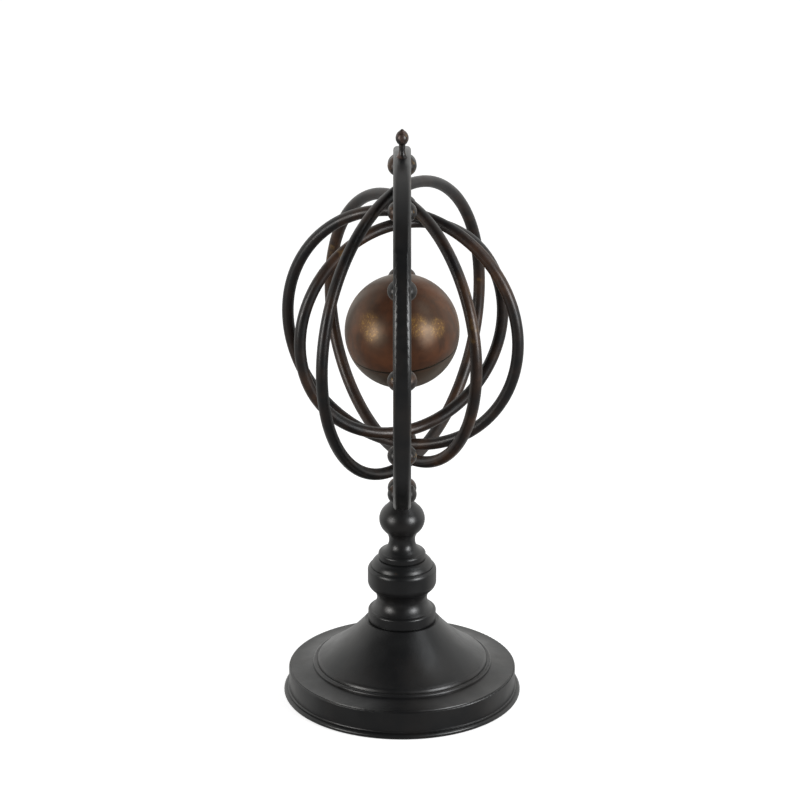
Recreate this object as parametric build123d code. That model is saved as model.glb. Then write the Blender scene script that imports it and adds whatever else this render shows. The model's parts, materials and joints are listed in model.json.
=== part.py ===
"""Armillary sphere: meridian ring, four hoops and a ball on a turned stem and bell-shaped base.

Millimetres. The origin is on the floor at the middle of the base, +Z is up, and the meridian ring stands in
the YZ plane. Turned pieces are drawn as (radius, height) outlines and revolved about +Z.
"""
from build123d import *
import os

# Base
RIM_RADIUS = 101.6
WALL_RADIUS = 97.3
WALL_TOP = 24.0
FOOT_RADIUS = 76.9
FOOT_TOP = 30.6
BELL_TOP = 68.4
BELL_TOP_RADIUS = 31.5
SHELL_WALL = 2.0
INNER_RADIUS = WALL_RADIUS - SHELL_WALL
LEDGE = 22.2

# What is inside and under the base
FELT_RADIUS = 92.0
FELT_THICK = 1.0
PLATE_THICK = 2.0
WEIGHT_RADIUS = 92.0
WEIGHT_THICK = 9.0
WASHER_RADIUS = 13.0
WASHER_THICK = 2.0
NUT_ACROSS_FLATS = 13.0
NUT_HEIGHT = 6.5
TIE_RADIUS = 4.0
TIE_BOTTOM = 3.4
TIE_TOP = 166.0
ROD_PLAY = 0.03

# Stem
COLLAR_RADIUS = 29.0
WAIST_RADIUS = 21.4
WAIST = 88.5
BARREL_RADIUS = 29.35
BARREL_TOP = 118.4
LIP_RADIUS = 20.2
NECK_RADIUS = 11.2
NECK_TOP = 142.0
BALL_SEAT = 176.8
SADDLE_RADIUS = 10.2
SADDLE_TOP = 185.2

# Rings
CENTRE = 336.0
RING_OUTER = 153.3
RING_DEPTH = 21.9
RING_THICK = 15.0
RING_CORNER = 3.6
RING_MIDDLE = RING_OUTER - RING_DEPTH / 2
HOOP_TUBE = 5.0
HOOP_WALL = 1.2
HOOPS = {
    "hoop_1": (125.8, -31.8),
    "hoop_2": (115.3, 32.2),
    "hoop_3": (104.8, 67.6),
    "hoop_4": (94.3, -64.8),
}

# Studs
STUD_COUNT = 12
STUD_OFFSET = -3.8
STUD_RADIUS = 9.0
STUD_CENTRE = 3.3
SHANK_RADIUS = 2.0
SHANK_PLAY = 0.04
SHANK_END = 10.0

# Axis
ROD_RADIUS = 3.0
ROD_BOTTOM = 168.0
ROD_TOP = 486.0
RUNNING_PLAY = 0.05
BUSH_RADIUS = 3.9
BUSH_PROUD = 0.1
BUSH_GAP = 0.3
SLEEVE_RADIUS = 4.5

# Ball
BALL_RADIUS = 48.5
BALL_CENTRE = 333.4
BALL_WALL = 1.6
SEAM_BELOW = 13.0
SEAM_NOD = 9.0
SEAM_TILT = -6.0
SEAM_GROOVE = 0.6
LAP_HEIGHT = 5.0
LAP_WALL = 1.2
BALL_HOLE = 5.0
DRILL_PLAY = 0.02
FLANGE_RADIUS = 8.0
FLANGE_THICK = 1.4

# Finial
SPIGOT_RADIUS = 1.5
SPIGOT_LENGTH = 10.0
FINIAL_FOOT = 488.2
FINIAL_TOP = 514.0


def turned(*edges):
    """Revolve a closed (radius, height) outline about +Z."""
    return revolve(Plane.XZ * make_face(edges), Axis.Z)


def path(*points):
    """Straight edges through the points in order."""
    return [Line(a, b) for a, b in zip(points, points[1:])]


def disc(radius, bottom, top, bore=0.0):
    """Flat round piece between two heights, with an optional hole."""
    solid = Pos(0, 0, (bottom + top) / 2) * Cylinder(radius, top - bottom)
    if bore:
        solid -= Pos(0, 0, (bottom + top) / 2) * Cylinder(bore, top - bottom + 2)
    return solid


def save(name, shape):
    """Write one node's STEP file."""
    shape.label = name
    export_step(shape, f"parts/{name}.step")


# ---------------------------------------------------------------- base

def base_shell():
    """Spun shell: rolled rim, wall, cove, stepped foot and bell, open underneath."""
    hole = TIE_RADIUS + ROD_PLAY
    edges = path((hole, BELL_TOP), (BELL_TOP_RADIUS, BELL_TOP))
    edges.append(ThreePointArc((BELL_TOP_RADIUS, BELL_TOP), (49.6, 49.6), (70.6, 34.0)))
    edges.append(ThreePointArc((70.6, 34.0), (72.2, 32.4), (73.0, FOOT_TOP - 0.2)))
    edges += path((73.0, FOOT_TOP - 0.2), (74.9, FOOT_TOP))
    edges.append(ThreePointArc((74.9, FOOT_TOP), (76.3, 30.0), (FOOT_RADIUS, 28.6)))
    edges += path((FOOT_RADIUS, 28.6), (FOOT_RADIUS, 27.3))
    edges.append(ThreePointArc((FOOT_RADIUS, 27.3), (86.2, 25.1), (95.4, WALL_TOP + 0.5)))
    edges += path((95.4, WALL_TOP + 0.5), (95.7, WALL_TOP - 0.1), (96.4, WALL_TOP - 0.1))
    edges.append(ThreePointArc((96.4, WALL_TOP - 0.1), (97.0, 23.7), (WALL_RADIUS, 23.0)))
    edges += path((WALL_RADIUS, 23.0), (WALL_RADIUS, 6.0))
    edges.append(ThreePointArc((WALL_RADIUS, 6.0), (97.7, 5.3), (98.6, 4.9)))
    edges += path((98.6, 4.9), (99.3, 4.9))
    edges.append(ThreePointArc((99.3, 4.9), (RIM_RADIUS, 2.6), (99.3, 0.3)))
    edges += path((99.3, 0.3), (INNER_RADIUS, 0.3), (INNER_RADIUS, LEDGE), (79.0, LEDGE), (75.0, 25.6))
    edges.append(Line((75.0, 25.6), (69.0, 31.6)))
    edges.append(ThreePointArc((69.0, 31.6), (48.3, 47.9), (30.6, BELL_TOP - 3.0)))
    edges += path((30.6, BELL_TOP - 3.0), (hole, BELL_TOP - 3.0), (hole, BELL_TOP))
    return turned(*edges)


def hex_nut():
    """Nut under the weight on the tie rod."""
    bottom = LEDGE - WEIGHT_THICK - WASHER_THICK - NUT_HEIGHT
    blank = extrude(RegularPolygon(NUT_ACROSS_FLATS / 2, 6, major_radius=False), NUT_HEIGHT)
    return Pos(0, 0, bottom) * blank - disc(TIE_RADIUS + ROD_PLAY, 0, LEDGE)


def make_base():
    """Shell, weight, closing plate, felt and the clamp under the weight."""
    weight_bottom = LEDGE - WEIGHT_THICK
    clear = TIE_RADIUS + ROD_PLAY
    save("base_shell", base_shell())
    save("base_weight", disc(WEIGHT_RADIUS, weight_bottom, LEDGE, clear))
    save("tie_washer", disc(WASHER_RADIUS, weight_bottom - WASHER_THICK, weight_bottom, clear))
    save("tie_nut", hex_nut())
    save("bottom_plate", disc(INNER_RADIUS - ROD_PLAY, FELT_THICK, FELT_THICK + PLATE_THICK))
    save("felt_pad", disc(FELT_RADIUS, 0, FELT_THICK))
    save("tie_rod", disc(TIE_RADIUS, TIE_BOTTOM, TIE_TOP))


# ---------------------------------------------------------------- stem

def stem_collar():
    """Band on top of the bell and the cove that rises to the waist."""
    hole = TIE_RADIUS + ROD_PLAY
    edges = path((hole, BELL_TOP), (28.4, BELL_TOP), (COLLAR_RADIUS, 69.0), (COLLAR_RADIUS, 77.0))
    edges.append(ThreePointArc((COLLAR_RADIUS, 77.0), (28.5, 78.1), (27.4, 78.6)))
    edges += path((27.4, 78.6), (26.4, 78.8))
    edges.append(ThreePointArc((26.4, 78.8), (23.0, 83.0), (WAIST_RADIUS, WAIST)))
    edges += path((WAIST_RADIUS, WAIST), (hole, WAIST), (hole, BELL_TOP))
    return turned(*edges)


def stem_barrel():
    """Fat ring with rounded edges above the waist."""
    hole = TIE_RADIUS + ROD_PLAY
    edges = path((hole, WAIST), (WAIST_RADIUS, WAIST))
    edges.append(ThreePointArc((WAIST_RADIUS, WAIST), (22.5, 93.2), (25.2, 97.3)))
    edges.append(ThreePointArc((25.2, 97.3), (28.2, 100.3), (BARREL_RADIUS, 104.0)))
    edges += path((BARREL_RADIUS, 104.0), (BARREL_RADIUS, 114.8))
    edges.append(ThreePointArc((BARREL_RADIUS, 114.8), (28.7, 116.9), (27.2, BARREL_TOP)))
    edges += path((27.2, BARREL_TOP), (hole, BARREL_TOP), (hole, WAIST))
    return turned(*edges)


def stem_neck():
    """Sloping shoulder, lip and the cove that narrows to the neck."""
    hole = TIE_RADIUS + ROD_PLAY
    edges = path((hole, BARREL_TOP), (26.4, BARREL_TOP), (26.4, 119.0))
    edges.append(ThreePointArc((26.4, 119.0), (24.7, 122.5), (21.0, 125.2)))
    edges += path((21.0, 125.2), (19.7, 125.4), (LIP_RADIUS, 126.2), (LIP_RADIUS, 129.4))
    edges.append(ThreePointArc((LIP_RADIUS, 129.4), (19.6, 131.1), (18.0, 131.9)))
    edges.append(ThreePointArc((18.0, 131.9), (13.2, 135.6), (NECK_RADIUS, NECK_TOP)))
    edges += path((NECK_RADIUS, NECK_TOP), (hole, NECK_TOP), (hole, BARREL_TOP))
    return turned(*edges)


def stem_ball():
    """Turned ball on the neck, coned at the top to meet the saddle."""
    low = TIE_RADIUS + ROD_PLAY
    high = ROD_RADIUS + ROD_PLAY
    bore_step = TIE_TOP + 1.0
    edges = path((low, NECK_TOP), (NECK_RADIUS, NECK_TOP), (NECK_RADIUS, 143.5))
    edges.append(ThreePointArc((NECK_RADIUS, 143.5), (12.3, 147.4), (15.2, 151.2)))
    edges.append(ThreePointArc((15.2, 151.2), (19.5, 161.4), (15.0, 172.0)))
    edges += path((15.0, 172.0), (SADDLE_RADIUS, BALL_SEAT), (high, BALL_SEAT), (high, bore_step))
    edges += path((high, bore_step), (low, bore_step), (low, NECK_TOP))
    return turned(*edges)


def ring_saddle(ring):
    """Short round seat, hollowed on top to cradle the meridian ring."""
    seat = disc(SADDLE_RADIUS, BALL_SEAT, SADDLE_TOP)
    seat = fillet(seat.edges().sort_by(Axis.Z)[-1], 0.8)
    bore = disc(ROD_RADIUS + ROD_PLAY, BALL_SEAT - 1, SADDLE_TOP + 1)
    return seat - bore - ring


# ---------------------------------------------------------------- meridian ring

def plain_ring():
    """Ring of flat bar with rounded corners in the YZ plane, before any holes."""
    section = Pos(0, RING_MIDDLE) * RectangleRounded(RING_THICK, RING_DEPTH, RING_CORNER)
    return Pos(0, 0, CENTRE) * revolve(section, Axis.X)


def stud_angles():
    """Angles of the studs, from the top of the ring towards the back."""
    return [STUD_OFFSET + 360 / STUD_COUNT * i for i in range(STUD_COUNT)]


def around_ring(shape):
    """Copies of a shape made at the top of the ring, one at every stud angle."""
    centre = Pos(0, 0, CENTRE)
    return [centre * Rot(angle, 0, 0) * centre.inverse() * shape for angle in stud_angles()]


def across(radius, low, high):
    """Rod along +X at the top of the ring, from one side to the other."""
    return Pos((low + high) / 2, 0, CENTRE + RING_MIDDLE) * Rot(0, 90, 0) * Cylinder(radius, high - low)


def stud_dome(side, ring):
    """One dome fitted to the ring's side face: side is +1 or -1."""
    ball = Pos(side * STUD_CENTRE, 0, CENTRE + RING_MIDDLE) * Sphere(STUD_RADIUS)
    half = Pos(side * RING_THICK, 0, CENTRE + RING_MIDDLE) * Box(
        2 * RING_THICK - 6.0, 3 * STUD_RADIUS, 3 * STUD_RADIUS)
    return (ball & half) - ring


def make_studs(ring):
    """Headed pins on one side, and the domed caps they screw into on the other."""
    pin = stud_dome(-1, ring) + across(SHANK_RADIUS, -RING_THICK / 2 - 2, SHANK_END)
    cap = stud_dome(1, ring) - across(SHANK_RADIUS + SHANK_PLAY, 0, SHANK_END + 0.4)
    save("studs_left", Compound(around_ring(pin)))
    save("studs_right", Compound(around_ring(cap)))


def outer_ring(ring):
    """Meridian ring drilled for the studs and for the axis rod."""
    drilled = ring
    for hole in around_ring(across(SHANK_RADIUS + SHANK_PLAY, -RING_THICK, RING_THICK)):
        drilled -= hole
    return drilled - disc(ROD_RADIUS + ROD_PLAY, ROD_BOTTOM, FINIAL_TOP)


# ---------------------------------------------------------------- axis and hoops

def axis_rod():
    """Vertical rod, tapped at its top end for the finial."""
    rod = disc(ROD_RADIUS, ROD_BOTTOM, ROD_TOP)
    return rod - disc(SPIGOT_RADIUS + ROD_PLAY, ROD_TOP - SPIGOT_LENGTH - 1, ROD_TOP + 1)


def sleeve(bottom, top):
    """Spacer tube on the axis rod."""
    return disc(SLEEVE_RADIUS, bottom, top, ROD_RADIUS + ROD_PLAY)


def make_axis():
    """Rod and the two spacer tubes between the ball and the smallest hoop."""
    reach = HOOPS["hoop_4"][0] - HOOP_TUBE - BUSH_PROUD - BUSH_GAP
    ball_end = BALL_RADIUS + FLANGE_THICK + BUSH_GAP
    save("axis_rod", axis_rod())
    save("lower_sleeve", sleeve(CENTRE - reach, BALL_CENTRE - ball_end))
    save("upper_sleeve", sleeve(BALL_CENTRE + ball_end, CENTRE + reach))


def hoop(radius, turn):
    """Round-tube hoop through both poles, turned about +Z from the meridian ring's plane."""
    tube = Pos(0, radius) * (Circle(HOOP_TUBE) - Circle(HOOP_TUBE - HOOP_WALL))
    ring = Pos(0, 0, CENTRE) * revolve(tube, Axis.X)
    ring -= disc(BUSH_RADIUS + DRILL_PLAY, CENTRE - 2 * radius, CENTRE + 2 * radius)
    return Rot(0, 0, turn) * ring


def hoop_bushes(radius):
    """Plain bushes in a hoop's two pole holes, standing just proud of the tube."""
    half = HOOP_TUBE + BUSH_PROUD
    bore = ROD_RADIUS + RUNNING_PLAY
    low = disc(BUSH_RADIUS, CENTRE - radius - half, CENTRE - radius + half, bore)
    high = disc(BUSH_RADIUS, CENTRE + radius - half, CENTRE + radius + half, bore)
    return Compound([low, high])


def make_hoops():
    """Each hoop and its bushes."""
    for name, (radius, turn) in HOOPS.items():
        save(name, hoop(radius, turn))
        save(f"{name}_bushes", hoop_bushes(radius))


# ---------------------------------------------------------------- ball

def ball_slice(outer, inner, low, high):
    """Band of a hollow sphere about the origin, between two heights measured square to the seam."""
    shell = Sphere(outer) - Sphere(inner)
    return shell & Pos(0, 0, (low + high) / 2) * Box(3 * outer, 3 * outer, high - low)


def seam_cut(side):
    """Small bevel along the seam: side is +1 for the upper half and -1 for the lower."""
    seam_radius = (BALL_RADIUS ** 2 - SEAM_BELOW ** 2) ** 0.5
    corner = (seam_radius + 1, -SEAM_BELOW)
    edges = path(corner, (seam_radius - SEAM_GROOVE, -SEAM_BELOW),
                 (seam_radius + 1, -SEAM_BELOW + side * 2 * SEAM_GROOVE), corner)
    return turned(*edges)


def hung(shell):
    """Tip a ball shell so that its seam runs off level, drill it for the bushes and move it to the rod."""
    tipped = Rot(SEAM_NOD, SEAM_TILT, 0) * shell
    return Pos(0, 0, BALL_CENTRE) * (tipped - Cylinder(BALL_HOLE + DRILL_PLAY, 3 * BALL_RADIUS))


def ball_upper():
    """Larger half of the ball, above the seam."""
    shell = ball_slice(BALL_RADIUS, BALL_RADIUS - BALL_WALL, -SEAM_BELOW, BALL_RADIUS)
    return hung(shell - seam_cut(1))


def ball_lower():
    """Smaller half, with a lap that plugs into the upper half."""
    cap = ball_slice(BALL_RADIUS, BALL_RADIUS - BALL_WALL, -BALL_RADIUS, -SEAM_BELOW) - seam_cut(-1)
    lap_outer = BALL_RADIUS - BALL_WALL - ROD_PLAY
    lap = ball_slice(lap_outer, lap_outer - LAP_WALL, -SEAM_BELOW - LAP_HEIGHT, -SEAM_BELOW + LAP_HEIGHT)
    lap_joint = ball_slice(BALL_RADIUS - BALL_WALL / 2, lap_outer - LAP_WALL,
                           -SEAM_BELOW - LAP_HEIGHT, -SEAM_BELOW)
    return hung(cap + lap + lap_joint)


def ball_bush(side):
    """Flanged bush in one pole of the ball: side is +1 for the top and -1 for the bottom."""
    bore = ROD_RADIUS + RUNNING_PLAY
    flat = (BALL_RADIUS ** 2 - FLANGE_RADIUS ** 2) ** 0.5
    outer = BALL_RADIUS + FLANGE_THICK
    edges = path((bore, BALL_RADIUS - 6), (BALL_HOLE, BALL_RADIUS - 6), (BALL_HOLE, BALL_RADIUS - 0.5),
                 (FLANGE_RADIUS, flat), (FLANGE_RADIUS, flat + 0.6))
    edges.append(ThreePointArc((FLANGE_RADIUS, flat + 0.6), (6.8, outer - 0.4), (5.4, outer)))
    edges += path((5.4, outer), (bore, outer), (bore, BALL_RADIUS - 6))
    bush = turned(*edges) - Sphere(BALL_RADIUS) + (turned(*edges) & Cylinder(BALL_HOLE, 4 * BALL_RADIUS))
    return Pos(0, 0, BALL_CENTRE) * (bush if side > 0 else Rot(180, 0, 0) * bush)


def make_ball():
    """Two shells and the bushes they turn on."""
    save("ball_upper", ball_upper())
    save("ball_lower", ball_lower())
    save("ball_bushes", Compound([ball_bush(1), ball_bush(-1)]))


# ---------------------------------------------------------------- finial

def finial(ring):
    """Pointed acorn on a flared foot that fits over the ring's rounded edge, with a threaded spigot."""
    edges = path((0, FINIAL_FOOT), (5.2, FINIAL_FOOT), (5.2, FINIAL_FOOT + 0.6))
    edges.append(ThreePointArc((5.2, FINIAL_FOOT + 0.6), (3.2, 492.0), (2.7, 497.0)))
    edges += path((2.7, 497.0), (2.7, 500.2))
    edges.append(ThreePointArc((2.7, 500.2), (5.5, 506.2), (2.6, 511.8)))
    edges += path((2.6, 511.8), (0.6, FINIAL_TOP - 0.3), (0, FINIAL_TOP), (0, FINIAL_FOOT))
    plug = disc(ROD_RADIUS, ROD_TOP + 0.4, FINIAL_FOOT + 2.0)
    spigot = disc(SPIGOT_RADIUS, ROD_TOP - SPIGOT_LENGTH, ROD_TOP + 1.0)
    return turned(*edges) - ring + plug + spigot


os.makedirs("parts", exist_ok=True)
bare_ring = plain_ring()
make_base()
save("stem_collar", stem_collar())
save("stem_barrel", stem_barrel())
save("stem_neck", stem_neck())
save("stem_ball", stem_ball())
save("ring_saddle", ring_saddle(bare_ring))
save("outer_ring", outer_ring(bare_ring))
make_studs(bare_ring)
make_axis()
make_hoops()
make_ball()
save("finial", finial(bare_ring))
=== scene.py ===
"""Looks for the armillary sphere: finishes for every CAD node, a studio and the camera.

Metres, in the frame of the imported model. The CAD nodes keep their shapes; everything here is material, light
and view.
"""
import bpy
import json
import math
from mathutils import Matrix, Vector


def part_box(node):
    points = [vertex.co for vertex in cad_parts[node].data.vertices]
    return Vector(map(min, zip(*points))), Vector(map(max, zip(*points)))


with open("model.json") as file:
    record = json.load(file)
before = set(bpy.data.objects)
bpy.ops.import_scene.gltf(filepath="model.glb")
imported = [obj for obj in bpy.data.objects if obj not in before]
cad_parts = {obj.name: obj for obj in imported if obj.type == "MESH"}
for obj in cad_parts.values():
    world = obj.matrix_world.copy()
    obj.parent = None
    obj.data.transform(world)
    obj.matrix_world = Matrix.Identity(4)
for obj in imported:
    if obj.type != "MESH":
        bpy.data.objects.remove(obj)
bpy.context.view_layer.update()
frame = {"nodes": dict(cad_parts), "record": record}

# Camera: in front of the object and above it, far away, with a long lens
CAMERA_PLACE = (-0.00175, -4.701, 2.189)
CAMERA_PITCH = 67.8
CAMERA_LENS = 270.0
CAMERA_SENSOR = 36.0
CAMERA_REACH = 100

# Studio: the room's colours change with the height (Z) and depth (Y) of the direction looked in
FLOOR_RADIUS = 30.0
FLOOR_CLEAR = 0.0002
FLOOR_GREY = (0.55, 0.55, 0.55, 1)
FLOOR_ROUGHNESS = 0.9
FLOOR_GLOW = 0.78
BACKDROP_COLOUR = (1.0, 1.0, 1.0, 1)
WALL_WHITE = (1.1, 1.1, 1.08, 1)
CEILING_GREY = (0.46, 0.46, 0.46, 1)
FLOOR_BEHIND = (0.6, 0.6, 0.59, 1)
ROOM_DARK = (0.006, 0.006, 0.007, 1)
FLOOR_FRONT = (0.24, 0.24, 0.24, 1)
FLOOR_FADE = -0.3
FRONT_FADE = -0.02
CEILING_FROM = 0.4
WALL_FROM = 0.18
SOFTBOX_DISTANCE = 2.2

# Softboxes: degrees to the right of the front, degrees up, width and height in metres, watts, colour
SOFTBOXES = {
    "left_box": (-57, 9, 0.75, 0.95, 27, (1.0, 0.985, 0.96)),
    "right_box": (52, 11, 0.75, 1.0, 44, (0.97, 0.985, 1.0)),
    "high_right_box": (77, 50, 0.6, 0.8, 6, (0.95, 0.98, 1.0)),
}

# The side faces of the meridian ring, as distances from its middle plane where rubbing starts and is full
RING_SIDE_FROM = 0.0052
RING_SIDE_FULL = 0.0072

# The ball's seam: depth below the centre, tips about X and Y, half width of the dark seam line (grime and
# painted shade in the groove), and half width of the edge of the painted shade below the seam
SEAM_BELOW = 0.0130
SEAM_TIP = (math.radians(9.0), math.radians(-6.0))
SEAM_GRIME_AND_SHADE = 0.0013
SEAM_SHADE = 0.006

# The ball's patches of gold leaf: degrees to the right of the front, degrees up, radius in metres
GILT_PATCHES = (
    (-41, 25, 0.013), (-35, 16, 0.010), (16, 26, 0.013), (41, 20, 0.011), (95, 8, 0.018),
    (150, 34, 0.020), (198, 4, 0.016), (247, 28, 0.020),
)
SPOT_CORE = 0.3

# Colours, linear
BLACK = (0.0062, 0.0064, 0.0068, 1)
WARM_BLACK = (0.0125, 0.0110, 0.0102, 1)
RUBBED_BROWN = (0.062, 0.030, 0.015, 1)
DEEP_BROWN = (0.030, 0.0165, 0.011, 1)
OLD_GOLD = (0.34, 0.20, 0.06, 1)
COPPER_SHADOW = (0.024, 0.012, 0.010, 1)
COPPER_DARK = (0.036, 0.014, 0.009, 1)
COPPER = (0.118, 0.040, 0.017, 1)
COPPER_LIGHT = (0.25, 0.125, 0.045, 1)
# Olive-dark colour used as painted shade on the ball's lower half
PAINTED_SHADE_OLIVE = (0.034, 0.027, 0.019, 1)
LEAF_GOLD = (0.36, 0.20, 0.045, 1)
WARM_GLANCE = (1.0, 0.84, 0.62, 1)
PLUM_BROWN = (0.13, 0.078, 0.062, 1)
SEAM_GRIME_AND_SHADE_BLACK = (0.002, 0.002, 0.002, 1)
STEEL_GREY = (0.38, 0.38, 0.40, 1)
STEEL_LIGHT = (0.55, 0.55, 0.54, 1)
IRON_DARK = (0.05, 0.048, 0.046, 1)
IRON_GREY = (0.11, 0.105, 0.10, 1)
FELT_DARK = (0.010, 0.028, 0.016, 1)
FELT_GREEN = (0.026, 0.060, 0.036, 1)

# Sockets of a Mix node that blends colours
MIX_FACTOR = 0
MIX_FIRST = 6
MIX_SECOND = 7
MIX_RESULT = 2


class Finish:
    """A material under construction: its shader, and short ways to add and join nodes."""

    def __init__(self, name, roughness, metallic=0.0, coat=0.0, coat_roughness=0.1):
        self.material = bpy.data.materials.new(name)
        self.material.use_nodes = True
        self.tree = self.material.node_tree
        self.shader = next(n for n in self.tree.nodes if n.type == "BSDF_PRINCIPLED")
        self.shader.inputs["Roughness"].default_value = roughness
        self.shader.inputs["Metallic"].default_value = metallic
        self.shader.inputs["Coat Weight"].default_value = coat
        self.shader.inputs["Coat Roughness"].default_value = coat_roughness
        self.place = self.tree.nodes.new("ShaderNodeTexCoord").outputs["Object"]

    def add(self, kind, settings=None, **inputs):
        """New node. Inputs go by name, or by number as i0, i1 and so on; a value may be an output to link."""
        node = self.tree.nodes.new("ShaderNode" + kind)
        for name, value in (settings or {}).items():
            setattr(node, name, value)
        for name, value in inputs.items():
            by_number = name[0] == "i" and name[1:].isdigit()
            socket = node.inputs[int(name[1:]) if by_number else name]
            self.join(socket, value)
        return node

    def join(self, socket, value):
        """Link an output to a socket, or set the socket's own value."""
        if isinstance(value, bpy.types.NodeSocket):
            self.tree.links.new(value, socket)
        else:
            socket.default_value = value

    def noise(self, scale, detail=3.0, roughness=0.55, offset=0.0):
        """Noise with features of about 1 / scale metres."""
        moved = self.add("VectorMath", i0=self.place, i1=(offset, offset, offset)).outputs[0]
        node = self.add("TexNoise", Vector=moved, Scale=scale, Detail=detail, Roughness=roughness)
        return node.outputs["Fac"]

    def between(self, value, low, high, to_low=0.0, to_high=1.0):
        """Smooth step of a value from low to high."""
        node = self.add("MapRange", {"interpolation_type": "SMOOTHSTEP"}, i0=value, i1=low, i2=high,
                        i3=to_low, i4=to_high)
        return node.outputs[0]

    def maths(self, operation, a, b=0.0):
        return self.add("Math", {"operation": operation}, i0=a, i1=b).outputs[0]

    def blend(self, factor, a, b):
        """Colour a where factor is 0 and b where it is 1."""
        node = self.tree.nodes.new("ShaderNodeMix")
        node.data_type = "RGBA"
        self.join(node.inputs[MIX_FACTOR], factor)
        self.join(node.inputs[MIX_FIRST], a)
        self.join(node.inputs[MIX_SECOND], b)
        return node.outputs[MIX_RESULT]

    def colour(self, value):
        self.join(self.shader.inputs["Base Color"], value)

    def gloss(self, value, low, high):
        """Roughness that follows a 0 to 1 value."""
        node = self.add("MapRange", i0=value, i1=0.3, i2=0.7, i3=low, i4=high)
        self.join(self.shader.inputs["Roughness"], node.outputs[0])

    def relief(self, *layers):
        """Bump from (height value, depth in metres) layers."""
        normal = None
        for height, depth in layers:
            bump = self.add("Bump", Height=height, Distance=depth, Strength=1.0)
            if normal:
                self.join(bump.inputs["Normal"], normal)
            normal = bump.outputs["Normal"]
        self.join(self.shader.inputs["Normal"], normal)


def stand_black():
    """Satin black enamel, brushed on by hand, with a trace of brown in it."""
    f = Finish("stand_black", roughness=0.3)
    cloud = f.noise(22, detail=4)
    flecks = f.between(f.noise(420, detail=2, offset=3.0), 0.68, 0.76)
    tone = f.blend(f.between(cloud, 0.42, 0.72), BLACK, WARM_BLACK)
    sparse = f.maths("MULTIPLY", flecks, f.between(f.noise(35, offset=7.0), 0.52, 0.66))
    f.colour(f.blend(f.maths("MULTIPLY", sparse, 0.3), tone, RUBBED_BROWN))
    f.gloss(f.noise(60, detail=5, offset=5.0), 0.32, 0.42)
    f.relief((f.noise(70, detail=2), 0.00012), (f.noise(900, detail=2), 0.000012))
    return f.material


def ring_black():
    """Satin black on the meridian ring, rubbed to brown and gold along its sides."""
    f = Finish("ring_black", roughness=0.24)
    across = f.add("SeparateXYZ", Vector=f.place).outputs[0]
    side = f.between(f.maths("ABSOLUTE", across), RING_SIDE_FROM, RING_SIDE_FULL)
    rubbed = f.maths("MULTIPLY", side, f.between(f.noise(26, detail=5), 0.48, 0.72))
    tone = f.blend(f.between(f.noise(30, offset=2.0), 0.4, 0.7), BLACK, WARM_BLACK)
    gilt = f.between(f.noise(160, detail=4, offset=4.0), 0.52, 0.74)
    brown = f.blend(f.maths("MULTIPLY", gilt, 0.45), DEEP_BROWN, OLD_GOLD)
    f.colour(f.blend(f.maths("MULTIPLY", rubbed, 0.8), tone, brown))
    f.gloss(f.noise(90, detail=4, offset=6.0), 0.31, 0.40)
    f.relief((f.noise(40, detail=1), 0.00002), (f.noise(1100, detail=2), 0.000004))
    return f.material


def hoop_bronze():
    """Oil-rubbed bronze tube: near black, worn through to brown in long patches."""
    f = Finish("hoop_bronze", roughness=0.4, metallic=0.1)
    worn = f.between(f.noise(14, detail=3, roughness=0.5), 0.44, 0.66)
    fine = f.between(f.noise(90, detail=4, offset=2.0), 0.30, 0.75)
    dark = f.blend(f.maths("MULTIPLY", fine, 0.5), BLACK, DEEP_BROWN)
    light = f.blend(fine, DEEP_BROWN, RUBBED_BROWN)
    gilt = f.maths("MULTIPLY", worn, f.between(f.noise(60, detail=6, offset=9.0), 0.60, 0.72))
    f.colour(f.blend(f.maths("MULTIPLY", gilt, 0.35), f.blend(worn, dark, light), OLD_GOLD))
    f.gloss(f.noise(80, detail=4, offset=4.0), 0.34, 0.46)
    f.relief((f.noise(60, detail=2), 0.00006), (f.noise(1200, detail=2), 0.000005))
    return f.material


def stud_gunmetal(name="stud_gunmetal", tint=RUBBED_BROWN):
    """Dark gunmetal with a browned bloom."""
    f = Finish(name, roughness=0.36, metallic=0.2)
    bloom = f.between(f.noise(75, detail=4), 0.45, 0.68)
    gilt = f.between(f.noise(130, detail=4, offset=5.0), 0.60, 0.72)
    tone = f.blend(bloom, WARM_BLACK, tint)
    f.colour(f.blend(f.maths("MULTIPLY", gilt, 0.4), tone, OLD_GOLD))
    f.gloss(f.noise(200, detail=4, offset=4.0), 0.30, 0.44)
    f.relief((f.noise(220, detail=3), 0.00006), (f.noise(1500, detail=2), 0.000006))
    return f.material


def gilding(f, centre, radius):
    """1 inside the ball's patches of gold leaf, fading to 0 round them."""
    total = 0.0
    for azimuth, elevation, size in GILT_PATCHES:
        a = math.radians(azimuth)
        e = math.radians(elevation)
        spot = centre + radius * Vector((math.sin(a) * math.cos(e), -math.cos(a) * math.cos(e), math.sin(e)))
        gap = f.add("VectorMath", {"operation": "DISTANCE"}, i0=f.place, i1=spot).outputs["Value"]
        total = f.maths("MAXIMUM", total, f.between(gap, size, SPOT_CORE * size))
    return total


def above_seam(f, centre):
    """Height above the plane of the seam between the ball's halves, square to it."""
    square = Matrix.Rotation(SEAM_TIP[0], 3, "X") @ Matrix.Rotation(SEAM_TIP[1], 3, "Y") @ Vector((0, 0, 1))
    height = f.add("VectorMath", {"operation": "DOT_PRODUCT"}, i0=f.place, i1=square).outputs["Value"]
    return f.maths("SUBTRACT", height, centre.dot(square) - SEAM_BELOW)


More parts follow.
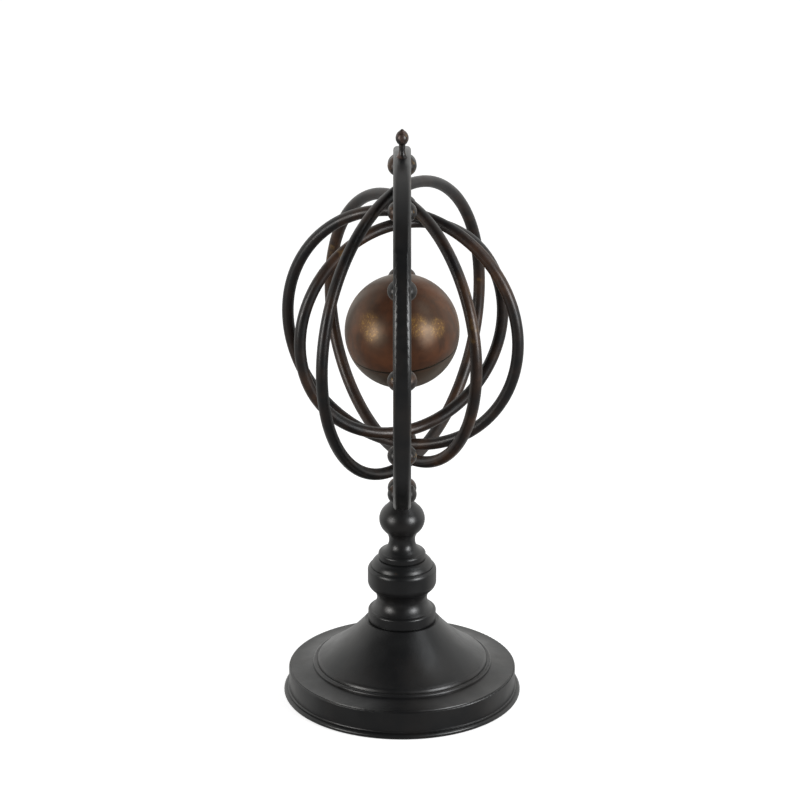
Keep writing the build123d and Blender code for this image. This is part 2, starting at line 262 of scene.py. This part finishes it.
def ball_copper():
    """Antique copper: mottled brown, lighter clouds, fine gold leaf showing through in patches, painted shade
    on the half below the seam, and a dark seam line that is partly grime and partly painted shade.
    """
    low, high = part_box("ball_upper")
    radius = (high.x - low.x) / 2
    centre = Vector((0, 0, high.z - radius))
    f = Finish("ball_copper", roughness=0.42, metallic=0.15)
    f.shader.inputs["Specular IOR Level"].default_value = 0.62
    f.shader.inputs["Specular Tint"].default_value = WARM_GLANCE
    cloud = f.between(f.noise(24, detail=5, roughness=0.6), 0.32, 0.70)
    grime = f.between(f.noise(46, detail=6, roughness=0.65, offset=3.0), 0.50, 0.74)
    leaf = f.between(f.noise(560, detail=5, roughness=0.7, offset=6.0), 0.48, 0.70)
    patch = gilding(f, centre, radius)
    height = above_seam(f, centre)
    # Dark line along the seam groove: partly grime, partly painted shade in the groove
    seam_grime_and_shade = f.between(f.maths("ABSOLUTE", height), SEAM_GRIME_AND_SHADE, SPOT_CORE * SEAM_GRIME_AND_SHADE)
    tall = f.add("VectorMath", {"operation": "MULTIPLY"}, i0=f.place, i1=(1.0, 1.0, 0.3)).outputs[0]
    runs = f.add("TexNoise", Vector=tall, Scale=75.0, Detail=4.0, Roughness=0.6).outputs["Fac"]
    tone = f.blend(cloud, COPPER_DARK, COPPER)
    tone = f.blend(f.maths("MULTIPLY", grime, 0.6), tone, COPPER_DARK)
    tone = f.blend(f.between(runs, 0.52, 0.70, 0.0, 0.6), tone, COPPER_SHADOW)
    # Painted shade: the half below the seam is darkened to olive
    tone = f.blend(f.between(height, SEAM_SHADE, -SEAM_SHADE, 0.0, 0.75), tone, PAINTED_SHADE_OLIVE)
    tone = f.blend(f.maths("MULTIPLY", patch, 0.35), tone, COPPER_LIGHT)
    tone = f.blend(f.maths("MULTIPLY", leaf, patch), tone, LEAF_GOLD)
    # Near-black seam line: grime plus painted shade in the groove
    f.colour(f.blend(seam_grime_and_shade, tone, SEAM_GRIME_AND_SHADE_BLACK))
    f.gloss(f.noise(60, detail=5, offset=5.0), 0.36, 0.46)
    f.relief((f.noise(45, detail=2), 0.0003), (f.noise(500, detail=3), 0.000015))
    return f.material


def bush_brass():
    """Aged brass."""
    f = Finish("bush_brass", roughness=0.4, metallic=0.8)
    f.colour(f.blend(f.between(f.noise(300, detail=4), 0.35, 0.65), DEEP_BROWN, OLD_GOLD))
    f.gloss(f.noise(500, offset=3.0), 0.32, 0.5)
    f.relief((f.noise(900), 0.00001))
    return f.material


def fixing_steel():
    """Zinc-plated steel with a faint grain."""
    f = Finish("fixing_steel", roughness=0.35, metallic=1.0)
    f.colour(f.blend(f.between(f.noise(120, detail=4), 0.3, 0.7), STEEL_GREY, STEEL_LIGHT))
    f.gloss(f.noise(600, detail=3), 0.28, 0.42)
    f.relief((f.noise(1000), 0.000015))
    return f.material


def weight_iron():
    """Rough cast iron."""
    f = Finish("weight_iron", roughness=0.7, metallic=0.6)
    f.colour(f.blend(f.between(f.noise(90, detail=5), 0.3, 0.7), IRON_DARK, IRON_GREY))
    f.gloss(f.noise(400), 0.6, 0.8)
    f.relief((f.noise(350, detail=4), 0.0003))
    return f.material


def felt():
    """Dark green felt."""
    f = Finish("felt", roughness=0.95)
    f.shader.inputs["Sheen Weight"].default_value = 0.4
    f.colour(f.blend(f.noise(1500, detail=4), FELT_DARK, FELT_GREEN))
    f.relief((f.noise(2500, detail=4, roughness=0.8), 0.0002))
    return f.material


def paint_nodes():
    """Give every CAD node the finish of its slot; the finial gets its own tint of gunmetal."""
    makers = [stand_black, ring_black, hoop_bronze, stud_gunmetal, ball_copper, bush_brass, fixing_steel,
              weight_iron, felt]
    finishes = {maker.__name__: maker() for maker in makers}
    for part in frame["record"]["subparts"]:
        mesh = frame["nodes"][part["node"]].data
        mesh.materials.clear()
        mesh.materials.append(finishes[part["material_slot"]])
    frame["nodes"]["finial"].data.materials[0] = stud_gunmetal("finial_gunmetal", PLUM_BROWN)


def make_floor():
    """Pale floor that the camera sees and that takes the object's soft shadow."""
    bpy.ops.mesh.primitive_circle_add(vertices=96, radius=FLOOR_RADIUS, fill_type="NGON",
                                      location=(0, 0, -FLOOR_CLEAR))
    floor = bpy.context.object
    floor.name = "floor"
    material = bpy.data.materials.new("floor_white")
    material.use_nodes = True
    shader = next(n for n in material.node_tree.nodes if n.type == "BSDF_PRINCIPLED")
    shader.inputs["Base Color"].default_value = FLOOR_GREY
    shader.inputs["Roughness"].default_value = FLOOR_ROUGHNESS
    shader.inputs["Specular IOR Level"].default_value = 0.0
    shader.inputs["Emission Color"].default_value = (1, 1, 1, 1)
    shader.inputs["Emission Strength"].default_value = FLOOR_GLOW
    floor.data.materials.append(material)
    floor.visible_glossy = False
    floor.visible_diffuse = False


def make_world():
    """White surroundings behind and beside the object, and a dark room on the side it is looked at from."""
    world = bpy.data.worlds.new("studio")
    bpy.context.scene.world = world
    world.use_nodes = True
    nodes = world.node_tree.nodes
    links = world.node_tree.links
    background = next(n for n in nodes if n.type == "BACKGROUND")
    parts = nodes.new("ShaderNodeSeparateXYZ")
    links.new(nodes.new("ShaderNodeTexCoord").outputs["Generated"], parts.inputs[0])

    def graded(axis, low, high, first, second):
        """Smooth change from one colour to the other along an axis of the direction looked in."""
        step = nodes.new("ShaderNodeMapRange")
        step.interpolation_type = "SMOOTHSTEP"
        step.inputs[1].default_value = low
        step.inputs[2].default_value = high
        links.new(parts.outputs[axis], step.inputs[0])
        mix = nodes.new("ShaderNodeMix")
        mix.data_type = "RGBA"
        links.new(step.outputs[0], mix.inputs[MIX_FACTOR])
        for socket, value in ((mix.inputs[MIX_FIRST], first), (mix.inputs[MIX_SECOND], second)):
            if isinstance(value, bpy.types.NodeSocket):
                links.new(value, socket)
            else:
                socket.default_value = value
        return mix.outputs[MIX_RESULT]

    wall = graded("Z", FLOOR_FADE, 0.0, FLOOR_BEHIND, WALL_WHITE)
    behind = graded("Z", CEILING_FROM, 1.0, wall, CEILING_GREY)
    in_front = graded("Z", FLOOR_FADE, FRONT_FADE, FLOOR_FRONT, ROOM_DARK)
    room = graded("Y", 0.0, WALL_FROM, in_front, behind)
    seen = nodes.new("ShaderNodeMix")
    seen.data_type = "RGBA"
    seen.inputs[MIX_SECOND].default_value = BACKDROP_COLOUR
    links.new(nodes.new("ShaderNodeLightPath").outputs["Is Camera Ray"], seen.inputs[MIX_FACTOR])
    links.new(room, seen.inputs[MIX_FIRST])
    links.new(seen.outputs[MIX_RESULT], background.inputs["Color"])


def softbox(name, azimuth, elevation, width, height, watts, colour):
    """Area light on a sphere round the hoops; azimuth is to the right of the front."""
    low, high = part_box("outer_ring")
    target = (low + high) / 2
    a = math.radians(azimuth)
    e = math.radians(elevation)
    data = bpy.data.lights.new(name, "AREA")
    data.shape = "RECTANGLE"
    data.size = width
    data.size_y = height
    data.energy = watts
    data.color = colour
    light = bpy.data.objects.new(name, data)
    bpy.context.scene.collection.objects.link(light)
    away = Vector((math.sin(a) * math.cos(e), -math.cos(a) * math.cos(e), math.sin(e)))
    light.location = target + away * SOFTBOX_DISTANCE
    light.rotation_euler = away.to_track_quat("Z", "Y").to_euler()


def make_camera():
    """Camera with the long lens, looking down at the object."""
    data = bpy.data.cameras.new("camera")
    data.lens = CAMERA_LENS
    data.sensor_width = CAMERA_SENSOR
    data.clip_end = CAMERA_REACH
    camera = bpy.data.objects.new("camera", data)
    camera.location = CAMERA_PLACE
    camera.rotation_euler = (math.radians(CAMERA_PITCH), 0, 0)
    bpy.context.scene.collection.objects.link(camera)
    bpy.context.scene.camera = camera


paint_nodes()
make_floor()
make_world()
for name, values in SOFTBOXES.items():
    softbox(name, *values)
make_camera()
bpy.context.scene.view_settings.view_transform = "Standard"
